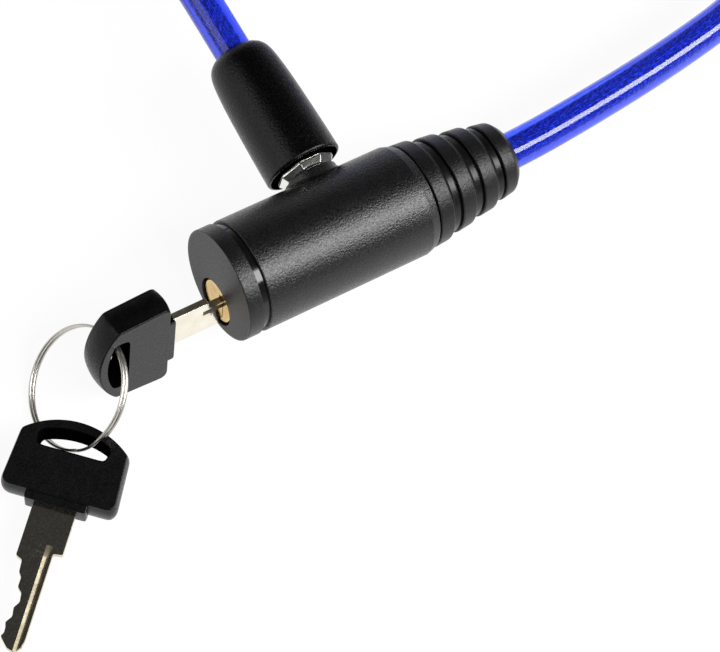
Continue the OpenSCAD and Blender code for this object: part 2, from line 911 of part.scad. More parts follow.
module bolt() {
    half = bolt_groove_w / 2;
    color([0.85, 0.85, 0.86])
    difference() {
        turned_y([
            [0, -bolt_in],
            [bolt_r - 1.4, -bolt_in],
            [bolt_r, -bolt_in + 1.4],
            [bolt_r, groove_y - half],
            [bolt_groove_r, groove_y - half],
            [bolt_groove_r, groove_y + half],
            [bolt_r, groove_y + half],
            [bolt_r, sleeve_ferrule_y],
            [0, sleeve_ferrule_y]
        ]);
        at_lock() tail_pin();
    }
}

module bolt_collar() {
    color([0.86, 0.86, 0.87])
    difference() {
        union() {
            intersection() {
                at_lock() translate([0, collar_y, 0]) rotate([-90, 18.5, 0])
                    cylinder(r = collar_r, h = collar_t, $fn = 8);
                turned_y([
                    [0, collar_y],
                    [collar_r - 1.1, collar_y],
                    [collar_r + 0.1, collar_y + collar_chamfer],
                    [collar_r + 0.1, collar_y + collar_t],
                    [0, collar_y + collar_t]
                ]);
            }
            turned_y([
                [0, collar_y + collar_t],
                [collar_r - 1, collar_y + collar_t],
                [collar_r - 1, hollow_y],
                [0, hollow_y]
            ]);
        }
        at_lock() rod_y(bolt_r, collar_y - 1, hollow_y + 1);
    }
}

module bolt_sleeve() {
    color([0.05, 0.05, 0.055])
    difference() {
        turned_y([
            [0, sleeve_y],
            [sleeve_r - 0.7, sleeve_y],
            [sleeve_r - 0.2, sleeve_y + 0.2],
            [sleeve_r, sleeve_y + 0.7],
            [sleeve_r - 0.1, sleeve_y + 5.3],
            [sleeve_r - 0.25, sleeve_y + 11.3],
            [sleeve_r - 0.45, sleeve_y + 16.3],
            [sleeve_r - 0.7, sleeve_end_y - 7.6],
            [sleeve_r - 1, sleeve_end_y - 4.1],
            [sleeve_r - 1.4, sleeve_end_y - 2],
            [sleeve_r - 2.05, sleeve_end_y - 0.8],
            [sleeve_r - 3.15, sleeve_end_y],
            [0, sleeve_end_y]
        ]);
        at_lock() {
            rod_y(hollow_r, sleeve_y - 1, hollow_y);
            rod_y(bolt_r, sleeve_y, sleeve_ferrule_y);
            rod_y(ferrule_r, sleeve_ferrule_y, sleeve_jacket_y);
            rod_y(cable_hole_r, sleeve_jacket_y - 1, sleeve_end_y + 1);
            tail_pin();
        }
    }
}

module sleeve_ferrule() {
    color([0.66, 0.66, 0.68])
    difference() {
        at_lock() rod_y(ferrule_r, sleeve_ferrule_y, sleeve_jacket_y);
        at_lock() rod_y(jacket_hole_r, sleeve_core_y, sleeve_jacket_y + 1);
    }
}

module sleeve_pin() {
    color([0.75, 0.75, 0.77])
    at_lock() tail_pin();
}

module cable_jacket_lead() {
    color([0.1, 0.15, 0.85])
    on_table() pipe(lead_route, cable_r, jacket_hole_r, 10, lead_dir, coil_in_dir);
}

module cable_jacket_coil() {
    color([0.1, 0.15, 0.85])
    on_table() pipe(coil_route, cable_r, 1.95, 6, coil_in_dir, coil_out_dir);
}

module cable_jacket_tail() {
    color([0.1, 0.15, 0.85])
    on_table() pipe(tail_route, cable_r, jacket_hole_r, 10, coil_out_dir, tail_dir);
}

module cable_core_lead() {
    color([0.6, 0.62, 0.66])
    on_table() rod(
        concat([[core_in, 0, axis_h]], lead_route),
        core_r, 10, lead_dir, coil_in_dir
    );
}

module cable_core_coil() {
    color([0.6, 0.62, 0.66])
    on_table() rod(coil_route, core_r, 6, coil_in_dir, coil_out_dir);
}

module cable_core_tail() {
    color([0.6, 0.62, 0.66])
    on_table() rod(
        concat(tail_route, [[0, sleeve_core_y, axis_h]]),
        core_r, 10, coil_out_dir, tail_dir
    );
}

body_shell();
front_ring();
groove_band();
cable_boot();
lock_housing();
socket_liner();
plug_pin();
anchor_ferrule();
anchor_pin();
key_plug();
wafers();
wafer_spring();
plug_cam();
latch();
latch_spring();
key_blade();
key_bow();
split_ring();
spare_blade();
spare_bow();
bolt();
bolt_collar();
bolt_sleeve();
sleeve_ferrule();
sleeve_pin();
cable_jacket_lead();
cable_jacket_coil();
cable_jacket_tail();
cable_core_lead();
cable_core_coil();
cable_core_tail();
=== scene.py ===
import json
import math

import bmesh
import bpy
import numpy as np
from mathutils import Matrix, Vector


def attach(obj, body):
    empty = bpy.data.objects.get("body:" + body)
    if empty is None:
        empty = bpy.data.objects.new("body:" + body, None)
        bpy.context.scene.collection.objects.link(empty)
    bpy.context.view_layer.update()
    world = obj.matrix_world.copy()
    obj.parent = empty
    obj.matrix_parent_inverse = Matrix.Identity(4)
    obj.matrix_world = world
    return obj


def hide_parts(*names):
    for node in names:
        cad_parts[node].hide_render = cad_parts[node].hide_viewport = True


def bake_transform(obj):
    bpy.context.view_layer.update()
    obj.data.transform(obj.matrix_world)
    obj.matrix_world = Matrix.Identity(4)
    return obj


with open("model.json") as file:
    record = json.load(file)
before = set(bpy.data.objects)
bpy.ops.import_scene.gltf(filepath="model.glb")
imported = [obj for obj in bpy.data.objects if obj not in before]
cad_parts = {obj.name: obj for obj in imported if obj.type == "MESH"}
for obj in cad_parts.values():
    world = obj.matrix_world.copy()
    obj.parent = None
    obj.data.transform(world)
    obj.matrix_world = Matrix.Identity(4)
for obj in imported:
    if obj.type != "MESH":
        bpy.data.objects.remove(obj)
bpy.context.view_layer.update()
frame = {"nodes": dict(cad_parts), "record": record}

MM = 0.001
# Crossing of the barrel's and the bolt's axes, in millimetres of the part's frame
AXES = np.array([28.8, 0.3, 19.0])
# Sides of a turned piece
ROUND = 144


def add_object(name, data):
    o = bpy.data.objects.new(name, data)
    bpy.context.scene.collection.objects.link(o)
    return o


def placement(x, y, z, at):
    """A placement from its three axes and its place in metres."""
    place = Matrix((x, y, z)).transposed().to_4x4()
    place.translation = at
    return place


# ---------------------------------------------------------------- camera
CAMERA_BACK, CAMERA_RIGHT = (-0.3797, -0.2333, 0.8952), (0.8351, -0.5029, 0.2231)
CAMERA_FROM_AXES = np.array([-235.69, -160.16, 537.98])
LENS, SENSOR = 150, 36


def make_camera():
    back = Vector(CAMERA_BACK).normalized()
    right = Vector(CAMERA_RIGHT)
    right = (right - right.dot(back) * back).normalized()
    data = bpy.data.cameras.new("camera")
    data.lens = LENS
    data.sensor_width = SENSOR
    data.sensor_fit = "HORIZONTAL"
    data.clip_start, data.clip_end = 0.01, 20
    cam = add_object("camera", data)
    cam.matrix_world = placement(right, back.cross(right), back, Vector(AXES + CAMERA_FROM_AXES) * MM)
    bpy.context.scene.camera = cam


make_camera()


# ---------------------------------------------------------------- materials
MATS = {}
# The noises hardly leave this range
NOISE_LOW, NOISE_HIGH = 0.35, 0.65
# The rope's wires: turns per millimetre of a strand, wires round it, and painted glints per millimetre
WIRE_TURN, WIRES, GLINTS = 1 / 7.5, 9.0, 1.1


def node_material(name):
    """A new entry of MATS; gives its nodes, its links and its shader."""
    m = MATS[name] = bpy.data.materials.new(name)
    m.use_nodes = True
    nt = m.node_tree
    return nt.nodes, nt.links, nt.nodes["Principled BSDF"]


def add(nodes, kind, **values):
    """A node; in_Some_Name sets its input Some Name."""
    n = nodes.new(kind)
    for key, value in values.items():
        n.inputs[key[3:].replace("_", " ")].default_value = value
    return n


def math_node(nodes, links, operation, *terms):
    """The output of a Math node of numbers and other nodes' outputs."""
    n = nodes.new("ShaderNodeMath")
    n.operation = operation
    for socket, term in zip(n.inputs, terms):
        if isinstance(term, float):
            socket.default_value = term
        else:
            links.new(term, socket)
    return n.outputs[0]


def noise(nodes, links, vector, scale, detail, roughness=0.5):
    n = add(nodes, "ShaderNodeTexNoise", in_Scale=scale, in_Detail=detail, in_Roughness=roughness)
    links.new(vector, n.inputs["Vector"])
    return n.outputs["Fac"]


def ramp(nodes, links, fac, stops):
    n = nodes.new("ShaderNodeValToRGB")
    while len(n.color_ramp.elements) < len(stops):
        n.color_ramp.elements.new(0.5)
    for e, (pos, col) in zip(n.color_ramp.elements, stops):
        e.position = pos
        e.color = (*col, 1)
    links.new(fac, n.inputs["Fac"])
    return n.outputs["Color"]


def bump(nodes, links, height, depth, shader):
    n = add(nodes, "ShaderNodeBump", in_Strength=1.0, in_Distance=depth)
    links.new(height, n.inputs["Height"])
    links.new(n.outputs["Normal"], shader.inputs["Normal"])


def grained(name, dark, light, rough, spread, depth, fine, slow):
    """A surface with its gloss and bump from a fine noise and its colour from a slow one.

    fine and slow are the noises' scale, detail and roughness.
    """
    nodes, links, b = node_material(name)
    at = nodes.new("ShaderNodeTexCoord").outputs["Object"]
    grain = noise(nodes, links, at, *fine)
    colour = ramp(nodes, links, noise(nodes, links, at, *slow), [(0.3, dark), (0.7, light)])
    links.new(colour, b.inputs["Base Color"])
    gloss = add(nodes, "ShaderNodeMapRange", in_From_Min=NOISE_LOW, in_From_Max=NOISE_HIGH,
                in_To_Min=rough - spread, in_To_Max=rough + spread)
    links.new(grain, gloss.inputs["Value"])
    links.new(gloss.outputs["Result"], b.inputs["Roughness"])
    bump(nodes, links, grain, depth, b)
    return b


def plastic(name, dark, light, rough, grain, depth, level=0.5, spread=0.08):
    """Moulded plastic."""
    b = grained(name, dark, light, rough, spread, depth, (grain, 3.0, 0.6), (400, 4.0, 0.6))
    b.inputs["Specular IOR Level"].default_value = level


def metal(name, dark, light, rough, scale=900, depth=0.000004, spread=0.06):
    """Bare or plated metal."""
    b = grained(name, dark, light, rough, spread, depth, (scale, 4.0, 0.65), (350, 3.0, 0.5))
    b.inputs["Metallic"].default_value = 1.0


def jacket_material():
    """Clear blue PVC."""
    nodes, links, b = node_material("jacket_blue")
    at = nodes.new("ShaderNodeTexCoord").outputs["Object"]
    slow = noise(nodes, links, at, 300, 2.0)
    colour = ramp(nodes, links, slow, [(0.3, (0.03, 0.07, 0.98)), (0.7, (0.05, 0.10, 1.0))])
    links.new(colour, b.inputs["Base Color"])
    bump(nodes, links, slow, 0.00001, b)
    b.inputs["Roughness"].default_value = 0.03
    b.inputs["IOR"].default_value = 1.5
    b.inputs["Transmission Weight"].default_value = 0.85
    b.inputs["Coat Weight"].default_value = 0.15
    b.inputs["Coat Roughness"].default_value = 0.03


def rope_material():
    """Strands of fine wires in blue: the wires lie along the rope, in short painted glints."""
    nodes, links, b = node_material("wire_rope")
    uv = nodes.new("ShaderNodeUVMap")
    parts = nodes.new("ShaderNodeSeparateXYZ")
    links.new(uv.outputs["UV"], parts.inputs["Vector"])
    around, along = parts.outputs["X"], parts.outputs["Y"]
    turn = math_node(nodes, links, "MULTIPLY_ADD", along, WIRE_TURN, around)
    wires = math_node(nodes, links, "MULTIPLY", turn, WIRES)
    wave = math_node(nodes, links, "PINGPONG", wires, 0.5)
    place = nodes.new("ShaderNodeCombineXYZ")
    links.new(wires, place.inputs["X"])
    links.new(math_node(nodes, links, "MULTIPLY", along, GLINTS), place.inputs["Y"])
    glint = noise(nodes, links, place.outputs["Vector"], 1.0, 2.0, 0.6)
    gate = ramp(nodes, links, glint, [(0.44, (0, 0, 0)), (0.54, (1, 1, 1))])
    lit = math_node(nodes, links, "MULTIPLY", wave, gate)
    # The base colour paints light: near-white painted glints on the wires' crowns, and painted shade
    # between the wires and outside the glints
    colour = ramp(nodes, links, lit, [(0.0, (0.0, 0.0, 0.10)), (0.08, (0.002, 0.006, 0.34)),
                                      (0.2, (0.08, 0.2, 1.0)), (0.4, (0.8, 0.9, 1.0))])
    links.new(colour, b.inputs["Base Color"])
    bump(nodes, links, wave, 0.00006, b)
    b.inputs["Metallic"].default_value = 0.15
    b.inputs["Roughness"].default_value = 0.4


# Name, dark and light colour, roughness, then for plastic the grain's scale and its depth in metres
plastic("shell_black", (0.0035, 0.0035, 0.004), (0.006, 0.006, 0.0065), 0.31, 2300, 0.00011, level=0.55)
plastic("ring_black", (0.0035, 0.0035, 0.004), (0.006, 0.006, 0.0065), 0.35, 2300, 0.00011, level=0.45)
plastic("face_black", (0.008, 0.008, 0.0085), (0.013, 0.013, 0.014), 0.45, 2500, 0.00002)
plastic("gloss_black", (0.003, 0.003, 0.0035), (0.005, 0.005, 0.0055), 0.14, 1200, 0.000002, spread=0.03)
plastic("sleeve_black", (0.0005, 0.0005, 0.0006), (0.001, 0.001, 0.0012), 0.24, 2300, 0.00012, level=0.3)
# The next plastic has no gloss and is darker than bow_black: painted shade in the sleeve's mouth and on the
# bows' slot walls
plastic("hollow_black", (0.0008, 0.0008, 0.0008), (0.0015, 0.0015, 0.0015), 0.4, 2000, 0.00001,
        level=0.0)
plastic("boot_black", (0.003, 0.003, 0.0035), (0.005, 0.005, 0.0055), 0.36, 2300, 0.0001, level=0.36)
plastic("valley_black", (0.003, 0.003, 0.0035), (0.005, 0.005, 0.0055), 0.26, 1500, 0.00002,
        level=0.25, spread=0.05)
plastic("bow_black", (0.0015, 0.0015, 0.0018), (0.004, 0.004, 0.0044), 0.30, 2300, 0.00007,
        level=0.42, spread=0.06)
# The next plastic is bow_black made darker and less glossy: painted shade on the walls round the bows' and
# tabs' outlines
plastic("bow_side", (0.001, 0.001, 0.0012), (0.003, 0.003, 0.0033), 0.30, 2300, 0.00007,
        level=0.18, spread=0.06)
metal("zinc", (0.45, 0.46, 0.48), (0.58, 0.59, 0.61), 0.5)
metal("steel", (0.5, 0.5, 0.52), (0.62, 0.62, 0.64), 0.35)
metal("brass", (0.58, 0.37, 0.11), (0.80, 0.57, 0.24), 0.20, depth=0.000008)
metal("nickel", (0.88, 0.83, 0.70), (0.97, 0.92, 0.80), 0.15, scale=2200, depth=0.00001)
metal("cut_edge", (0.66, 0.58, 0.42), (0.84, 0.77, 0.62), 0.34, scale=1500, depth=0.00002, spread=0.05)
# The next metal is dark brown on the groove's faces: painted shade in the milled groove
metal("groove", (0.17, 0.15, 0.10), (0.28, 0.25, 0.18), 0.5, scale=1500, depth=0.00002, spread=0.05)
metal("ring_nickel", (0.50, 0.48, 0.44), (0.64, 0.62, 0.57), 0.32, depth=0.000001, spread=0.03)
metal("chrome", (0.86, 0.86, 0.82), (0.92, 0.92, 0.88), 0.10, scale=260, depth=0.00008, spread=0.02)
jacket_material()
rope_material()


# ---------------------------------------------------------------- lines
def lengths(p):
    """How far along a polyline its points are."""
    return np.concatenate([[0], np.cumsum(np.linalg.norm(np.diff(p, axis=0), axis=1))])


def sampled(line, at, marks):
    """The points of a line at the given marks, where its own points have marks of their own."""
    return np.stack([np.interp(at, marks, line[:, k]) for k in range(line.shape[1])], axis=1)


def eased(x, x0, x1):
    """0 up to x0, 1 from x1 on, and a smooth step between them."""
    k = min(1.0, max(0.0, (x - x0) / (x1 - x0)))
    return k * k * (3 - 2 * k)


def curve_points(route, step, ends=(None, None)):
    """An even polyline on a centripetal Catmull-Rom curve through the route.

    ends are the directions at its two ends, or None for straight on.
    """
    p = np.asarray(route, float)
    leads = []
    for (a, b), way in zip(((p[0], p[1]), (p[-2], p[-1])), ends):
        leads.append(b - a if way is None else np.asarray(way, float) * np.linalg.norm(b - a))
    q = np.vstack([p[0] - leads[0], p, p[-1] + leads[1]])
    out = []
    for i in range(1, len(q) - 2):
        a, b, c, d = q[i - 1 : i + 3]
        t0 = 0.0
        t1 = t0 + math.sqrt(np.linalg.norm(b - a))
        t2 = t1 + math.sqrt(np.linalg.norm(c - b))
        t3 = t2 + math.sqrt(np.linalg.norm(d - c))
        for t in np.linspace(t1, t2, 40, endpoint=False):
            a1 = (t1 - t) / (t1 - t0) * a + (t - t0) / (t1 - t0) * b
            a2 = (t2 - t) / (t2 - t1) * b + (t - t1) / (t2 - t1) * c
            a3 = (t3 - t) / (t3 - t2) * c + (t - t2) / (t3 - t2) * d
            b1 = (t2 - t) / (t2 - t0) * a1 + (t - t0) / (t2 - t0) * a2
            b2 = (t3 - t) / (t3 - t1) * a2 + (t - t1) / (t3 - t1) * a3
            out.append((t2 - t) / (t2 - t1) * b1 + (t - t1) / (t2 - t1) * b2)
    out = np.array(out + [p[-1]])
    run = lengths(out)
    n = max(2, int(round(run[-1] / step)))
    return sampled(out, np.linspace(0, run[-1], n + 1), run)


def smoothed(line, times):
    """An open line made softer, with its ends held."""
    q = line.copy()
    for _ in range(times):
        q[2:-2] = 0.25 * q[1:-3] + 0.5 * q[2:-2] + 0.25 * q[3:-1]
    return q


def frames(p):
    """Two directions across a line at each of its points, which don't turn about it."""
    t = np.gradient(p, axis=0)
    t /= np.linalg.norm(t, axis=1)[:, None]
    u = np.zeros_like(p)
    u[0] = np.cross(t[0], (0, 0, 1))
    u[0] /= np.linalg.norm(u[0])
    for i in range(1, len(p)):
        u[i] = u[i - 1] - np.dot(u[i - 1], t[i]) * t[i]
        u[i] /= np.linalg.norm(u[i])
    return u, np.cross(t, u)


def rounding(before, p, after, fillet, steps=6):
    """The points of an arc that takes the place of the corner p."""
    u, w = before - p, after - p
    lu, lw = np.linalg.norm(u), np.linalg.norm(w)
    u, w = u / lu, w / lw
    half = math.acos(max(-1.0, min(1.0, float(u @ w)))) / 2
    d = min(fillet / math.tan(half), 0.48 * lu, 0.48 * lw)
    rad = d * math.tan(half)
    c = p + (u + w) / np.linalg.norm(u + w) * rad / math.sin(half)
    s0, s1 = p + u * d - c, p + w * d - c
    a0, a1 = math.atan2(s0[1], s0[0]), math.atan2(s1[1], s1[0])
    turn = (a1 - a0 + math.pi) % (2 * math.pi) - math.pi
    angles = [a0 + turn * k / steps for k in range(steps + 1)]
    return [c + rad * np.array([math.cos(a), math.sin(a)]) for a in angles]


def filleted(points, support=0.05):
    """A polyline of (a, r, fillet) points with its corners rounded.

    Where there is room, a point lies on either side of each corner or rounding, at the distance support.
    """
    raw = [np.array(p[:2], float) for p in points]
    line = [raw[0]]
    for i in range(1, len(raw)):
        group = [raw[i]]
        if i < len(raw) - 1 and len(points[i]) > 2 and points[i][2] > 0:
            group = rounding(raw[i - 1], raw[i], raw[i + 1], points[i][2])
        gap = group[0] - line[-1]
        far = np.linalg.norm(gap)
        if support and far > 6 * support:
            if i > 1:
                line.append(line[-1] + gap * support / far)
            line.append(group[0] - gap * support / far)
        line += group
    return np.array(line)


def along_axis(start, points):
    """Profile points (a, r, ...) with a counted from start."""
    return [(start + p[0], *p[1:]) for p in points]


# ---------------------------------------------------------------- meshes
def at_axes(p):
    """Points measured from the crossing of the axes, in millimetres of the part's frame."""
    return np.asarray(p, float) + AXES


def mesh_object(name, verts, faces, mats, sharp, uvs=None, face_mats=None):
    """A mesh from points in millimetres, smooth but for edges that turn by more than sharp degrees."""
    me = bpy.data.meshes.new(name)
    me.from_pydata([tuple(v) for v in np.asarray(verts, float) * MM], [], [tuple(f) for f in faces])
    me.polygons.foreach_set("use_smooth", [True] * len(me.polygons))
    if uvs is not None:
        layer = me.uv_layers.new(name="UVMap")
        layer.data.foreach_set("uv", np.asarray(uvs, np.float32).ravel())
    for mat in mats:
        me.materials.append(MATS[mat])
    if face_mats is not None:
        me.polygons.foreach_set("material_index", face_mats)
    me.update()
    me.validate()
    if sharp:
        me.set_sharp_from_angle(angle=math.radians(sharp))
    return add_object(name, me)


def skin(name, loops, along, mats, sharp, face_mats=None, ends=(False, False)):
    """A skin over loops that have the same count of points, with U round them and V from along.

    face_mats gives a material for the faces from each loop to the next. ends says which ends are closed.
    """
    n, m = len(loops[0]), len(loops)
    faces, uvs = [], []
    for i in range(m - 1):
        for k in range(n):
            k2 = (k + 1) % n
            faces.append((i * n + k, i * n + k2, (i + 1) * n + k2, (i + 1) * n + k))
            low, high = along[i], along[i + 1]
            uvs += [(k / n, low), ((k + 1) / n, low), ((k + 1) / n, high), (k / n, high)]
    if ends[0]:
        faces.append(tuple(range(n))[::-1])
        uvs += [(0, 0)] * n
    if ends[1]:
        faces.append(tuple((m - 1) * n + k for k in range(n)))
        uvs += [(0, 0)] * n
    which = None if face_mats is None else [mark for mark in face_mats[:-1] for _ in range(n)]
    return mesh_object(name, np.concatenate(loops), faces, mats, sharp, uvs, which)


def turned_outward(o):
    """The faces point outward."""
    bm = bmesh.new()
    bm.from_mesh(o.data)
    bmesh.ops.recalc_face_normals(bm, faces=bm.faces)
    bm.to_mesh(o.data)
    bm.free()


def loops_mesh(name, loops, mats, sharp=35.0, face_mats=None, ends=(False, False)):
    """A skin over loops, turned outward."""
    o = skin(name, loops, [i / len(loops) for i in range(len(loops))], mats, sharp, face_mats, ends)
    turned_outward(o)
    return o


def tube(name, p, r, n, mat, across=None, ends=(True, True)):
    """A tube of radius r and n sides round the points p, with its length in millimetres in V."""
    u, v = across or frames(p)
    ang = 2 * math.pi * np.arange(n) / n
    ring = np.cos(ang)[None, :, None] * u[:, None] + np.sin(ang)[None, :, None] * v[:, None]
    return skin(name, p[:, None] + r * ring, lengths(p), [mat], 60, ends=ends)


def ring_loop(x, r, cy=0, cz=0):
    """A circle round the barrel's axis, or round a line beside it, from the crossing of the axes."""
    a = 2 * math.pi * np.arange(ROUND) / ROUND
    return np.stack([np.full(ROUND, x), cy + r * np.cos(a), cz + r * np.sin(a)], axis=1)


def turned(name, profile, axis, mats, face_mats=None):
    """A body of revolution round the barrel's axis ('x') or the bolt's axis ('y') from (a, r) points."""
    loops = [ring_loop(a, r) for a, r in profile]
    if axis == "y":
        loops = [loop[::-1][:, [1, 0, 2]] for loop in loops]
    return loops_mesh(name, [at_axes(loop) for loop in loops], mats, face_mats=face_mats)


def join(name, objs):
    """One object of several meshes that share their materials."""
    bpy.ops.object.select_all(action="DESELECT")
    for o in objs:
        o.select_set(True)
    bpy.context.view_layer.objects.active = objs[0]
    bpy.ops.object.join()
    o = bpy.context.view_layer.objects.active
    o.name = name
    o.data.name = name
    return o


# ---------------------------------------------------------------- cable
BOOT_END, SLEEVE_END = 40.0, 43.6
JACKET_R, CABLE_HOLE_R, STRAND_R, STRANDS_AT, ROPE_LAY = 4.0, 4.05, 0.56, 1.12, 15.0
COIL_C, COIL_R, COIL_LOW, COIL_HIGH = (70.0, 98.0), 42.0, 4.0, 12.45
COIL_FROM, COIL_TO, CLIMB_FROM, CLIMB_TO, COIL_RUN = 13.0, 450.0, 270.0, 335.0, 8.0


def coil_point(angle):
    """A point of the coil, which climbs over its own start."""
    a = math.radians(angle)
    z = COIL_LOW + (COIL_HIGH - COIL_LOW) * eased(angle, CLIMB_FROM, CLIMB_TO)
    return [COIL_C[0] + COIL_R * math.cos(a), COIL_C[1] + COIL_R * math.sin(a), z]


def coil_start():
    """A point on the coil's tangent before its start."""
    a = math.radians(COIL_FROM + 90)
    x, y, z = coil_point(COIL_FROM)
    return [x - COIL_RUN * math.cos(a), y - COIL_RUN * math.sin(a), z]


# X and Y from the crossing of the axes, Z from the floor
LEAD_ROUTE = [
    [36.2, 0, 19], [40, 0, 19], [49, 0.4, 18.9], [57, 1.1, 18.7], [65.5, 2, 18.3], [74, 3, 17.8],
    [83, 4.3, 17.1], [92, 5.8, 16.3], [100.5, 7.4, 15.6], [109, 9.3, 15], [118.3, 13.3, 14],
    [126.9, 20.6, 12.7], [132.9, 30.4, 11.1], [135.2, 42, 9.2], [133.4, 54, 7.4], [128.4, 65, 5.8],
    [122.3, 76, 4.7], [116.6, 87.5, 4.1], coil_start(),
]
COIL_ROUTE = [coil_point(COIL_FROM + (COIL_TO - COIL_FROM) * i / 36) for i in range(37)]
COIL_END = [COIL_C[0] - COIL_RUN, COIL_C[1] + COIL_R, COIL_HIGH]
TAIL_ROUTE = [
    COIL_END, [53.5, 140, 12.5], [43, 138.5, 12.6], [32.5, 134.5, 12.8], [24, 127.5, 13],
    [17.5, 119, 13.4], [11.5, 108.5, 14], [5.5, 98, 14.9], [2.5, 91.5, 15.5], [0.5, 84.5, 16.4],
    [0, 78, 17.2], [0, 68, 18.4], [0, 58, 18.9], [0, 50, 19], [0, 43.6, 19], [0, 39, 19],
]


def make_cables():
    shift = np.array([AXES[0], AXES[1], 0.0])
    whole = curve_points(LEAD_ROUTE + COIL_ROUTE + TAIL_ROUTE, 1.0, ends=((1, 0, 0), (0, -1, 0))) + shift
    whole = smoothed(whole, 30)
    cut = int(np.argmin(np.linalg.norm(whole - (np.array(COIL_END) + shift), axis=1)))
    u, v = frames(whole)
    made = []
    for name, a, b in (("cable_lead", 0, cut), ("cable_tail", cut, len(whole) - 1)):
        s = slice(a, b + 1)
        jacket = tube(name, whole[s], JACKET_R, 40, "jacket_blue", (u[s], v[s]), ends=(a == 0, a != 0))
        fine = np.arange(a, b + 0.01, 0.5)
        mid, fu, fv = [sampled(w, fine, np.arange(len(whole))) for w in (whole, u, v)]
        run = fine * np.linalg.norm(whole[1] - whole[0])
        strands = [tube("strand", mid, STRAND_R, 8, "wire_rope", (fu, fv))]
        for j in range(6):
            w = 2 * math.pi * (j / 6 + run / ROPE_LAY)
            c = mid + STRANDS_AT * (np.cos(w)[:, None] * fu + np.sin(w)[:, None] * fv)
            strands.append(tube("strand", c, STRAND_R, 10, "wire_rope"))
        made.append((jacket, join(name + "_rope", strands), whole[s] * MM))
    (lead, lead_rope, lead_path), (tail, tail_rope, tail_path) = made
    for o in (lead, lead_rope):
        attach(o, "lock")
    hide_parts("cable_jacket_lead", "cable_jacket_coil")
    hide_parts("cable_core_lead", "cable_core_coil")
    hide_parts("cable_jacket_tail")
    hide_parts("cable_core_tail")
    for o in (tail, tail_rope):
        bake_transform(o)
    run = [float(np.linalg.norm(np.diff(p, axis=0), axis=1).sum()) for p in (lead_path, tail_path)]


make_cables()


# ---------------------------------------------------------------- barrel
BARREL_R, FACE_X, RING_X, BAND_X, BAND_R, CORE_R = 12.0, -29.2, -25.8, -24.2, 11.4, 10.8
SHELL_END, SHELL_END_R, CHAMFER_X, BORE_R = 16.6, 11.4, 14.6, 10.95
PLUG_Y, PLUG_Z, PLUG_FACE_X, FACE_HOLE_R, PLUG_BORE_R = -1.0, -6.0, -26.4, 5.25, 4.55
BOSS_R, BOSS_TOP, BOSS_HOLE, BOSS_FILLET, BOSS_EDGE = 5.95, 12.9, 5.2, 0.55, 0.3
# The shell's patch round the boss: its stations along the barrel, half its columns, its rings
PATCH_XS, PATCH_HALF, PATCH_RINGS = [-9.0 + k for k in range(19)], 20, 12


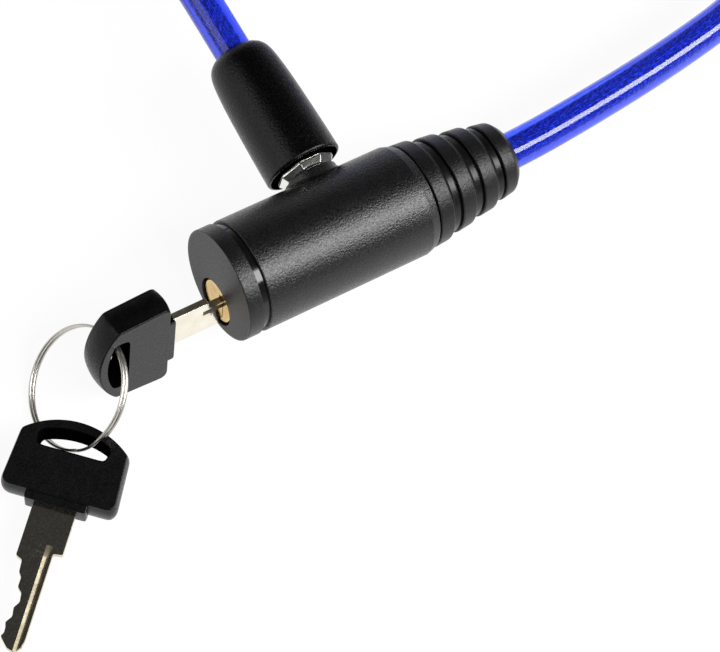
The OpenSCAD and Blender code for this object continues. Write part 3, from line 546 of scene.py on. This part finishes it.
def make_shell():
    """The shell, with a square patch of rings that lead from its grid to the round boss."""
    verts, faces, index = [], [], {}
    step = 2 * math.pi / ROUND
    front = filleted([(BAND_X + 1.0, BORE_R), (BAND_X, BORE_R, 0.1), (BAND_X, BARREL_R, 0.3),
                      (-20.0, BARREL_R)])[:-2]
    rear = filleted([(10.0, BARREL_R), (CHAMFER_X, BARREL_R, 0.8), (SHELL_END, SHELL_END_R, 0.15),
                     (SHELL_END, BORE_R - 0.4, 0)])[1:]
    line = [*front, *[(x, BARREL_R) for x in [-23.75, *PATCH_XS, 14.45]], *rear]
    lo, hi = len(front) + 1, len(front) + len(PATCH_XS)

    def on_barrel(x, t, r=BARREL_R):
        return (x, r * math.cos(t), r * math.sin(t))

    def corner(i, k):
        key = (i, k % ROUND)
        if key not in index:
            index[key] = len(verts)
            verts.append(on_barrel(line[i][0], k * step, line[i][1]))
        return index[key]

    for i in range(len(line) - 1):
        for k in range(-ROUND // 2, ROUND // 2):
            if not (lo <= i < hi and -PATCH_HALF <= k < PATCH_HALF):
                faces.append((corner(i, k), corner(i, k + 1), corner(i + 1, k + 1), corner(i + 1, k)))
    # once round the patch, from its middle line
    rim = [(hi, k) for k in range(0, PATCH_HALF)]
    rim += [(i, PATCH_HALF) for i in range(hi, lo, -1)]
    rim += [(lo, k) for k in range(PATCH_HALF, -PATCH_HALF, -1)]
    rim += [(i, -PATCH_HALF) for i in range(lo, hi)]
    rim += [(hi, k) for k in range(-PATCH_HALF, 0)]
    m = len(rim)
    rows = [[corner(i, k) for i, k in rim]]
    flat = [np.array([line[i][0], k * step]) for i, k in rim]
    phi = [math.atan2(BARREL_R * math.sin(t), x) for x, t in flat]

    def row(points):
        rows.append(list(range(len(verts), len(verts) + m)))
        verts.extend(points)

    # from the patch's rim to the foot of the boss, on the barrel
    foot = BOSS_R + BOSS_FILLET
    for j in range(1, PATCH_RINGS + 1):
        s = 1 - (1 - j / PATCH_RINGS) ** 1.6
        goals = [np.array([foot * math.cos(f), math.asin(foot * math.sin(f) / BARREL_R)]) for f in phi]
        row([on_barrel(*(start * (1 - s) + goal * s)) for start, goal in zip(flat, goals)])
    # the fillet at the foot
    highest = BOSS_TOP - BOSS_EDGE - 0.01
    for j in range(1, 7):
        a = j / 6 * math.pi / 2
        rho = BOSS_R + BOSS_FILLET * (1 - math.sin(a))
        rise = BOSS_FILLET * (1 - math.cos(a))
        ys = [math.sqrt(BARREL_R**2 - (rho * math.sin(f)) ** 2) + rise for f in phi]
        row([(rho * math.cos(f), min(y, highest), rho * math.sin(f)) for f, y in zip(phi, ys)])
    # the boss's rounded edge, its top and its hole
    upper = []
    for j in range(0, 7):
        a = j / 6 * math.pi / 2
        upper.append((BOSS_R - BOSS_EDGE * (1 - math.cos(a)),
                      BOSS_TOP - BOSS_EDGE + BOSS_EDGE * math.sin(a)))
    upper += [(BOSS_R - BOSS_EDGE - 0.06, BOSS_TOP), (BOSS_HOLE + 0.2, BOSS_TOP),
              (BOSS_HOLE + 0.1, BOSS_TOP - 0.02), (BOSS_HOLE, BOSS_TOP - 0.12), (BOSS_HOLE, BOSS_TOP - 2.4)]
    for rho, y in upper:
        row([(rho * math.cos(f), y, rho * math.sin(f)) for f in phi])
    for a, b in zip(rows[:-1], rows[1:]):
        for k in range(m):
            faces.append((a[k], a[(k + 1) % m], b[(k + 1) % m], b[k]))
    o = mesh_object("barrel_shell", at_axes(verts), faces, ["shell_black"], 50)
    turned_outward(o)
    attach(o, "lock")
    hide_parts("body_shell")


def make_front():
    side = filleted([(BAND_X, CORE_R), (RING_X, CORE_R, 0), (RING_X, BARREL_R, 0.15),
                     (FACE_X, BARREL_R, 0.38), (FACE_X, 11.5)], support=0)
    hole = filleted([(FACE_X, 6.0), (FACE_X, FACE_HOLE_R, 0.1), (PLUG_FACE_X, FACE_HOLE_R, 0.1),
                     (PLUG_FACE_X, PLUG_BORE_R, 0), (BAND_X, PLUG_BORE_R)], support=0)[1:]
    loops = [ring_loop(a, r) for a, r in side] + [ring_loop(a, r, PLUG_Y, PLUG_Z) for a, r in hole]
    loops = [at_axes(loop) for loop in loops]
    marks = [0] * (len(side) - 1) + [1] * (len(hole) + 1)
    o = loops_mesh("front_cap", loops, ["ring_black", "face_black"], face_mats=marks)
    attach(o, "lock")
    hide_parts("front_ring")
    x0, x1, low = RING_X - 0.1, BAND_X + 0.1, BAND_R - 0.6
    profile = filleted([(x0, low), (x0, BAND_R), (x1, BAND_R), (x1, low)])
    band = turned("gloss_band", profile, "x", ["gloss_black"])
    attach(band, "lock")
    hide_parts("groove_band")


RIBS_X, RIB_STEP, LAST_RIB_X = 17.0, 6.1, 35.3


def make_boot():
    line = along_axis(RIBS_X, [(0, 10.4, 0.0), (0, 11.4, 0.3), (3.4, 11.15, 0.6), (4.2, 10.2, 0.35),
                               (5.6, 10.05, 0.1), (5.75, 9.6, 0.0)])
    for x, r in ((23.1, 10.5), (29.2, 9.5)):
        line += along_axis(x, [(0, r - 0.9, 0.0), (0, r, 0.3), (3.4, r - 0.35, 0.6),
                               (4.2, r - 1.3, 0.35), (5.6, r - 1.45, 0.1), (5.75, r - 1.9, 0.0)])
    line += [(LAST_RIB_X, 7.45, 0.0), (LAST_RIB_X, 8.35, 0.3), (38.4, 7.85, 1.2), (39.75, 6.5, 0.9),
             (BOOT_END, 4.6, 0.2), (BOOT_END - 0.3, CABLE_HOLE_R, 0.1), (BOOT_END - 6, CABLE_HOLE_R)]
    profile = filleted([(SHELL_END - 1.0, 10.4)] + line)
    # the valleys between the ribs are smoother than the ribs
    marks = [1 if 3.7 < (a - RIBS_X) % RIB_STEP < 6.0 and a < LAST_RIB_X else 0 for a, r in profile]
    o = turned("boot_ribs", profile, "x", ["boot_black", "valley_black"], face_mats=marks)
    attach(o, "lock")
    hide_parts("cable_boot")


# ---------------------------------------------------------------- sleeve, collar
SLEEVE_Y, COLLAR_Y = 15.2, 13.1
# The octagon: half its width, its rounded corners' radius, its turn in degrees, points round it
OCT_FLAT, OCT_CORNER, OCT_TURN, OCT_POINTS = 5.95, 6.36, 4.0, 192


def make_sleeve():
    side = [(3.5, 8.31), (7.3, 8.22), (11.3, 8.1), (15.3, 7.95), (18.8, 7.78), (21.6, 7.58), (23.8, 7.35),
            (25.6, 7.05), (26.9, 6.6), (27.7, 6.05)]
    side = curve_points([(SLEEVE_Y + a, r, 0) for a, r in side], 0.6)[:, :2]
    mouth = [(2.0, 4.6), (2.0, 7.25, 0.3), (0, 7.25, 0.2), (0, 8.36, 0.75), (3.4, 8.31)]
    mouth = filleted(along_axis(SLEEVE_Y, mouth))[:-1]
    top = filleted([(SLEEVE_Y + 27.7, 6.05), (SLEEVE_END, 5.2, 0.3), (SLEEVE_END, CABLE_HOLE_R, 0.15),
                    (SLEEVE_END - 5, CABLE_HOLE_R)], support=0.04)[1:]
    profile = np.vstack([mouth, side, top])
    # the inside of the mouth is dull: a plastic without gloss there is painted shade in the hollow
    marks = [1 if a < SLEEVE_Y + 2.1 and r < 7.75 else 0 for a, r in profile]
    o = turned("bolt_cap", profile, "y", ["sleeve_black", "hollow_black"], face_mats=marks)
    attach(o, "bolt_end")
    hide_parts("bolt_sleeve")


def oct_loop(y, scale=1.0, cap=math.inf):
    """A loop of the collar's octagon at a scale, cut back to a circle where it is wider than the cap."""
    pts = []
    for k in range(OCT_POINTS):
        f = 2 * math.pi * k / OCT_POINTS
        d = (f + math.pi / 8) % (math.pi / 4) - math.pi / 8
        r = min(OCT_FLAT * scale / math.cos(d), OCT_CORNER * scale, cap)
        f += math.radians(OCT_TURN)
        pts.append((r * math.cos(f), y, r * math.sin(f)))
    return at_axes(pts)


def make_collar():
    loops = [oct_loop(COLLAR_Y, cap=4.25)]
    for y, scale in ((0, 0.82), (0.02, 0.845), (1.3, 0.995), (1.34, 1.0), (1.58, 1.0), (1.6, 0.985),
                     (1.68, 0.985), (1.7, 1.0), (2.2, 1.0), (2.34, 0.985), (2.4, 0.94)):
        loops.append(oct_loop(COLLAR_Y + y, scale))
    neck = along_axis(COLLAR_Y, [(2.4, 6.0), (2.4, 5.35, 0.2), (3.2, 5.35, 0.15), (3.2, 5.0, 0.1)])
    loops += [oct_loop(a, cap=r) for a, r in filleted(neck + [(SLEEVE_Y + 2.0, 5.0)])[1:]]
    o = loops_mesh("collar_chrome", loops, ["chrome"], sharp=24)
    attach(o, "bolt_end")
    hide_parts("bolt_collar")


# ---------------------------------------------------------------- keys
KEY_ANGLE, KEY_X, KEY_OFF, KEY_SHIFT = math.radians(14.5), 42.6, 1.2, -0.4
BOW_WIDE, BOW_NARROW, BOW_SIDE, BOW_TOP, BOW_T, BOW_ROUND = 11.5, 10.8, 11.9, 16.0, 6.3, 1.5
BOW_EDGE, BOW_CROWN = 0.32, 0.4
# How far the inserted key's bow sits to one side of its blade
KEY_BOW_SHIFT = 0.8
SLOT_LOW, SLOT_TOP, SLOT_ARC, SLOT_HALF = -9.5, -13.85, 17.0, 7.1
TAB_HALF, TAB_LEN, TAB_T, TAB_EDGE = 6.3, 1.7, 5.3, 0.3
BLADE_T, SHANK, BLADE_CUT, BLADE_BACK, SHOULDER, BLADE_EDGE = 1.5, 4.35, 2.95, 2.5, 10.4, 0.06
GROOVE_FROM, GROOVE_LEFT, GROOVE_RIGHT, GROOVE_DEEP, GROOVE_RUN = 9.2, 0.78, 2.1, 0.45, 5.0
GROOVE_TO = 33.0
RING_C = np.array([-62.45, -4.35, -8.55])
SPARE_AT = np.array([-76.41, -22.41, -12.44])
# The ring's wire: mean radius, width, height, squareness of its section
WIRE_MID, WIRE_W, WIRE_H, WIRE_POWER = 12.43, 0.6, 0.84, 2.3
# The wire's two turns in degrees: start, end, where it steps from one to the other, and their levels
WIRE_FROM, WIRE_TO, STEP_FROM, STEP_TO, WIRE_LEVEL, WIRE_START = 12.0, 700.0, 340, 374, 0.45, 95.0
# A plate's three materials are the faces', the hole's wall's and the outline's wall's
FACE, HOLE_WALL, WALL = 0, 1, 2
# A blade's three materials are the face's, the cut walls' and the groove's, whose dark brown is painted
# shade in the groove
CUT, GROOVE = 1, 2
# Corners closer than this are one, in millimetres, and a loose island has fewer faces than this
WELD, ISLAND = 0.001, 12


def turn_x(a):
    return np.array([[1, 0, 0], [0, math.cos(a), -math.sin(a)], [0, math.sin(a), math.cos(a)]])


def turn_y(a):
    return np.array([[math.cos(a), 0, math.sin(a)], [0, 1, 0], [-math.sin(a), 0, math.cos(a)]])


def turn_z(a):
    return np.array([[math.cos(a), -math.sin(a), 0], [math.sin(a), math.cos(a), 0], [0, 0, 1]])


def key_place():
    """The inserted key's frame: X to the tip, Y across the bow, Z out of the face."""
    m = turn_x(math.pi / 2 - KEY_ANGLE)
    return m, np.array([0, PLUG_Y, PLUG_Z]) + m @ np.array([-KEY_X, KEY_SHIFT, KEY_OFF])


def spare_place():
    return turn_z(math.radians(-135.7)) @ turn_y(math.radians(3.6)) @ turn_x(math.radians(8.4)), SPARE_AT


def ring_place():
    """The split ring's frame, with Z along its axis."""
    return turn_z(math.radians(162.7)) @ turn_y(math.radians(51.9)), RING_C


def placed(place, p):
    """A point of a key's or the ring's frame, in millimetres of the part's frame."""
    m, at = place
    return m @ np.array(p) + at + AXES


def closed_outline(points, step, times):
    """A counterclockwise loop through the points, even and a little softened."""
    p = np.array(list(points) + [points[0]])
    run = lengths(p)
    loop = sampled(p, np.linspace(0, run[-1], int(round(run[-1] / step)), endpoint=False), run)
    nxt = np.roll(loop, -1, axis=0)
    if np.sum(loop[:, 0] * nxt[:, 1] - nxt[:, 0] * loop[:, 1]) < 0:
        loop = loop[::-1]
    for _ in range(times):
        loop = 0.25 * np.roll(loop, 1, axis=0) + 0.5 * loop + 0.25 * np.roll(loop, -1, axis=0)
    return loop


def inset(loop, d):
    """A closed counterclockwise loop moved inward by d."""
    t = np.roll(loop, -1, axis=0) - np.roll(loop, 1, axis=0)
    t /= np.linalg.norm(t, axis=1)[:, None]
    return loop + d * np.stack([-t[:, 1], t[:, 0]], axis=1)


def plate(name, outer, hole, half_t, edge, mats, place, seg=5, crown=0.0):
    """A plate with rounded edges round its outline and its hole, from closed counterclockwise loops.

    The wall round the outline swells by the crown halfway through its thickness.
    """
    bm = bmesh.new()

    def ring(loop, z):
        return [bm.verts.new(tuple(placed(place, [x, y, z]) * MM)) for x, y in loop]

    def band(a, b, mat):
        for k in range(len(a)):
            k2 = (k + 1) % len(a)
            bm.faces.new((a[k], a[k2], b[k2], b[k])).material_index = mat

    turns = [k / seg * math.pi / 2 for k in range(seg + 1)]
    upper = [(edge * (1 - math.cos(a)), half_t - edge + edge * math.sin(a)) for a in turns]
    lower = [(d, -z) for d, z in upper[::-1]]
    swell = []
    if crown:
        swell = [(-crown * (1 - t * t), t * (half_t - edge)) for t in np.linspace(-0.8, 0.8, 9)]
    walls = [(outer, 1, lower + swell + upper, WALL)]
    if hole is not None:
        walls.append((hole, -1, lower + upper, HOLE_WALL))
    rims = []
    for loop, sign, heights, mat in walls:
        rows = [ring(inset(loop, sign * d), z) for d, z in heights]
        for a, b in zip(rows[:-1], rows[1:]):
            band(a, b, mat)
        rims.append((rows[0], rows[-1]))
    for which, side in ((0, -1), (1, 1)):
        edges = []
        for (loop, sign, _, _), rim in zip(walls, rims):
            inner = ring(inset(loop, sign * (edge + 0.06)), side * half_t)
            band(rim[which], inner, FACE)
            edges += [bm.edges.get((inner[k], inner[(k + 1) % len(inner)])) for k in range(len(inner))]
        bmesh.ops.triangle_fill(bm, use_beauty=True, use_dissolve=False, edges=edges)
    bmesh.ops.recalc_face_normals(bm, faces=bm.faces)
    me = bpy.data.meshes.new(name)
    bm.to_mesh(me)
    bm.free()
    me.polygons.foreach_set("use_smooth", [True] * len(me.polygons))
    for mat in mats:
        me.materials.append(MATS[mat])
    me.set_sharp_from_angle(angle=math.radians(40))
    return add_object(name, me)


def arc_between(half, side_x, top_x, count=60):
    """An arc through (top_x, 0) that ends at (side_x, -half) and (side_x, half)."""
    rise = side_x - top_x
    r = (half * half + rise * rise) / (2 * rise)
    a0 = math.asin(half / r)
    return [(top_x + r * (1 - math.cos(a)), r * math.sin(a)) for a in np.linspace(-a0, a0, count)]


def bow_outline():
    pts = arc_between(BOW_NARROW, -BOW_SIDE, -BOW_TOP)
    turns, wide = np.linspace(math.pi / 2, 0, 10), BOW_WIDE - BOW_ROUND
    for side in (1, -1):
        corner = [(BOW_ROUND * (math.cos(a) - 1), side * (wide + BOW_ROUND * math.sin(a))) for a in turns]
        pts += corner[::side]
    return closed_outline(pts, 0.2, 8)


def slot_outline():
    rise = SLOT_ARC - math.sqrt(SLOT_ARC**2 - SLOT_HALF**2)
    low = [(SLOT_LOW, SLOT_HALF - 0.2), (SLOT_LOW, 0.2 - SLOT_HALF)]
    return closed_outline(arc_between(SLOT_HALF, SLOT_TOP + rise, SLOT_TOP) + low, 0.15, 40)


def make_bow(name, node, body, place, shift=0.0):
    """A bow and its tab. The bow is shifted across the blade, and the tab isn't."""
    m, at = place
    moved = (m, at + m @ np.array([0, shift, 0]))
    # The slot's wall and the outline's wall take darker, duller plastics than the faces: painted shade
    looks = ["bow_black", "hollow_black", "bow_side"]
    bow = plate(name, bow_outline(), slot_outline(), BOW_T / 2, BOW_EDGE, looks, moved, crown=BOW_CROWN)
    tab = [(-1.5, -TAB_HALF), (TAB_LEN, -TAB_HALF), (TAB_LEN, TAB_HALF), (-1.5, TAB_HALF)]
    tab = plate(name + "_tab", closed_outline(tab, 0.2, 8), None, TAB_T / 2, TAB_EDGE, looks, place)
    o = join(name, [bow, tab])
    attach(o, body)
    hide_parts(node)


def blade_outline():
    """The shank, the cuts from the shoulder to the tip, and the straight back."""
    b, c = TAB_LEN - 0.4, BLADE_CUT
    return [
        (-2, -3), (b, -3), (b, -SHANK), (12.8, -SHANK), (13.4, -c), (15.9, -c + 0.2), (16.8, -2.05),
        (18.9, -2.05), (19.8, -1.05), (21.7, -0.8), (23.0, -1.6), (24.8, -1.3), (26.2, -2.25),
        (27.2, -1.9), (28.3, -1.85), (29.1, -2.3), (31.0, -0.5), (31.35, 0.6), (31.2, 1.35),
        (30.1, 2.15), (28.8, BLADE_BACK), (SHOULDER + 0.25, BLADE_BACK), (SHOULDER, SHANK), (b, SHANK),
        (b, 3), (-2, 3),
    ]


def groove_section(deep):
    """Across the groove: a long slope on the left, a flat bottom and a steep right wall."""
    wide = GROOVE_RIGHT - GROOVE_LEFT
    shape = [(0.0, 0.0), (0.5, -1.0), (0.82, -1.0), (1.0, 0.0)]
    row = [(GROOVE_LEFT + wide * t, deep * z) for t, z in shape]
    return [(GROOVE_LEFT - 0.3, 0.4)] + row + [(GROOVE_RIGHT + 0.3, 0.4)]


def make_cutter(name, place):
    """The body that cuts the groove, which gets deeper over its first run."""
    loops = []
    for x in [GROOVE_FROM] + [GROOVE_FROM + 0.1 + GROOVE_RUN * k / 10 for k in range(11)] + [GROOVE_TO]:
        t = min(1.0, (x - GROOVE_FROM) / GROOVE_RUN)
        section = groove_section(GROOVE_DEEP * (0.12 + 0.88 * t * (2 - t)))
        loops.append(np.array([placed(place, [x, y, BLADE_T / 2 + z]) for y, z in section]))
    return loops_mesh(name, loops, ["cut_edge"], sharp=0, ends=(True, True))


def without_flakes(mesh):
    """Takes out what the boolean leaves loose: doubled corners and islands of a few faces."""
    bm = bmesh.new()
    bm.from_mesh(mesh)
    bmesh.ops.remove_doubles(bm, verts=bm.verts, dist=WELD)
    bmesh.ops.dissolve_degenerate(bm, dist=WELD, edges=bm.edges)
    seen, flakes = set(), []
    for first in bm.faces:
        if first in seen:
            continue
        seen.add(first)
        island, todo = [], [first]
        while todo:
            face = todo.pop()
            island.append(face)
            for edge in face.edges:
                if len(edge.link_faces) == 2:
                    for other in edge.link_faces:
                        if other not in seen:
                            seen.add(other)
                            todo.append(other)
        if len(island) < ISLAND:
            flakes += island
    bmesh.ops.delete(bm, geom=flakes, context="FACES")
    bm.to_mesh(mesh)
    bm.free()


def blade_look(normal, centre):
    """The material of a blade's face, from its normal and its centre in the key's frame."""
    x, y, z = centre
    over_groove = x > GROOVE_FROM - 0.1 and GROOVE_LEFT - 0.1 < y < GROOVE_RIGHT + 0.1
    # the faces inside the groove take the dark groove metal, painted shade
    if over_groove and 0 < z < BLADE_T / 2 - 0.004:
        return GROOVE
    return CUT if abs(normal[2]) < 0.6 else FACE


def make_blade(name, node, body, place):
    m, at = place
    o = plate(name, closed_outline(blade_outline(), 0.12, 6), None, BLADE_T / 2, BLADE_EDGE,
              ["nickel", "cut_edge", "groove"], place, seg=3)
    cutter = make_cutter(name + "_cutter", place)
    # the boolean works at the scale of a millimetre to the unit
    for piece in (o, cutter):
        piece.data.transform(Matrix.Scale(1 / MM, 4))
    mod = o.modifiers.new("groove", "BOOLEAN")
    mod.operation, mod.object, mod.solver, mod.use_self = "DIFFERENCE", cutter, "EXACT", True
    bpy.context.view_layer.update()
    made = bpy.data.meshes.new_from_object(o.evaluated_get(bpy.context.evaluated_depsgraph_get()))
    without_flakes(made)
    made.transform(Matrix.Scale(MM, 4))
    o.modifiers.clear()
    o.data = made
    o.data.name = name
    bpy.data.objects.remove(cutter)
    looks = [blade_look(m.T @ np.array(f.normal), m.T @ (np.array(f.center) / MM - at - AXES))
             for f in made.polygons]
    made.polygons.foreach_set("material_index", looks)
    made.polygons.foreach_set("use_smooth", [True] * len(looks))
    made.set_sharp_from_angle(angle=math.radians(25))
    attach(o, body)
    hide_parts(node)


def wire_section():
    """The wire's section as 24 points, between an ellipse and a rectangle."""
    def bulged(c):
        return math.copysign(abs(c) ** (2 / WIRE_POWER), c)

    turns = [2 * math.pi * k / 24 for k in range(24)]
    return [(WIRE_W / 2 * bulged(math.cos(f)), WIRE_H / 2 * bulged(math.sin(f))) for f in turns]


def make_ring():
    """The split ring: two turns of wire on each other, with rounded free ends."""
    place, section = ring_place(), wire_section()
    angles = np.arange(WIRE_FROM, WIRE_TO + 0.01, 1.0)
    loops = []
    for i, a in enumerate(angles):
        f = math.radians(a) + math.radians(WIRE_START)
        d = np.array([math.cos(f), math.sin(f), 0])
        level = WIRE_LEVEL * (2 * eased(a, STEP_FROM, STEP_TO) - 1)
        end = min(i, len(angles) - 1 - i)
        k = (0.55, 0.82, 0.95, 1.0)[min(end, 3)]
        points = [d * (WIRE_MID + u * k) + [0, 0, level + v * k] for u, v in section]
        loops.append(np.array([placed(place, p) for p in points]))
    o = loops_mesh("split_ring_wire", loops, ["ring_nickel"], sharp=60, ends=(True, True))
    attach(o, "ring")
    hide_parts("split_ring")


make_shell()
make_front()
make_boot()
make_sleeve()
make_collar()
make_bow("key_grip", "key_bow", "key", key_place(), shift=KEY_BOW_SHIFT)
make_bow("spare_grip", "spare_bow", "spare", spare_place())
make_blade("key_steel", "key_blade", "key", key_place())
make_blade("spare_steel", "spare_blade", "spare", spare_place())
make_ring()


# ---------------------------------------------------------------- carried-over CAD nodes
SLOT_OF = {r["node"]: r["material_slot"] for r in frame["record"]["subparts"]}
for name, obj in frame["nodes"].items():
    obj.data.materials.clear()
    obj.data.materials.append(MATS[SLOT_OF[name]])


# ---------------------------------------------------------------- floor and light
FLOOR_HALF, FLOOR_GLOW = 6.0, 0.94
LAMP_FAR, LAMP_AIM = 2.0, (0.03, 0.0, 0.015)


def make_floor():
    """A white floor, which the camera, gloss and clear pieces see mostly as an even glow."""
    s = FLOOR_HALF
    me = bpy.data.meshes.new("floor")
    me.from_pydata([(-s, -s, 0), (s, -s, 0), (s, s, 0), (-s, s, 0)], [], [(0, 1, 2, 3)])
    o = add_object("floor", me)
    nodes, links, b = node_material("floor_white")
    b.inputs["Base Color"].default_value = (1.0, 1.0, 1.0, 1)
    b.inputs["Roughness"].default_value = 0.9
    b.inputs["Specular IOR Level"].default_value = 0.0
    path = nodes.new("ShaderNodeLightPath").outputs
    seen = math_node(nodes, links, "MAXIMUM", path["Is Camera Ray"], path["Is Glossy Ray"])
    seen = math_node(nodes, links, "MAXIMUM", seen, path["Is Transmission Ray"])
    glow = add(nodes, "ShaderNodeEmission", in_Strength=1.0)
    mix = nodes.new("ShaderNodeMixShader")
    links.new(math_node(nodes, links, "MULTIPLY", seen, FLOOR_GLOW), mix.inputs["Fac"])
    links.new(b.outputs[0], mix.inputs[1])
    links.new(glow.outputs[0], mix.inputs[2])
    links.new(mix.outputs[0], nodes["Material Output"].inputs["Surface"])
    me.materials.append(MATS["floor_white"])


def softbox(name, to, along, size, radiance):
    """A soft lamp in the direction to; its size is as seen from a distance of 1."""
    z = Vector(to).normalized()
    x = (Vector(along) - Vector(along).dot(z) * z).normalized()
    data = bpy.data.lights.new(name, "AREA")
    data.shape = "RECTANGLE"
    data.size, data.size_y = size[0] * LAMP_FAR, size[1] * LAMP_FAR
    data.energy = radiance * math.pi * data.size * data.size_y
    lamp = add_object(name, data)
    lamp.matrix_world = placement(x, z.cross(x), z, Vector(LAMP_AIM) + z * LAMP_FAR)


def make_light():
    world = bpy.data.worlds.new("world")
    world.use_nodes = True
    nodes, links = world.node_tree.nodes, world.node_tree.links
    sky = nodes["Background"]
    at = nodes.new("ShaderNodeTexCoord")
    parts = nodes.new("ShaderNodeSeparateXYZ")
    links.new(at.outputs["Generated"], parts.inputs["Vector"])
    greys = ((0.0, 0.50), (0.12, 0.42), (0.35, 0.11), (0.62, 0.035), (1.0, 0.03))
    shade = ramp(nodes, links, parts.outputs["Z"], [(z, (grey,) * 3) for z, grey in greys])
    links.new(shade, sky.inputs["Color"])
    sky.inputs["Strength"].default_value = 1.0
    bpy.context.scene.world = world
    softbox("main_light", (0.42, -0.48, 0.79), (1, 0, 0), (1.3, 0.4), 11.5)
    softbox("left_light", (-0.82, 0.24, 0.515), (0, 1, 0), (0.6, 0.7), 1.5)


make_floor()
make_light()
bpy.context.scene.view_settings.view_transform = "Standard"
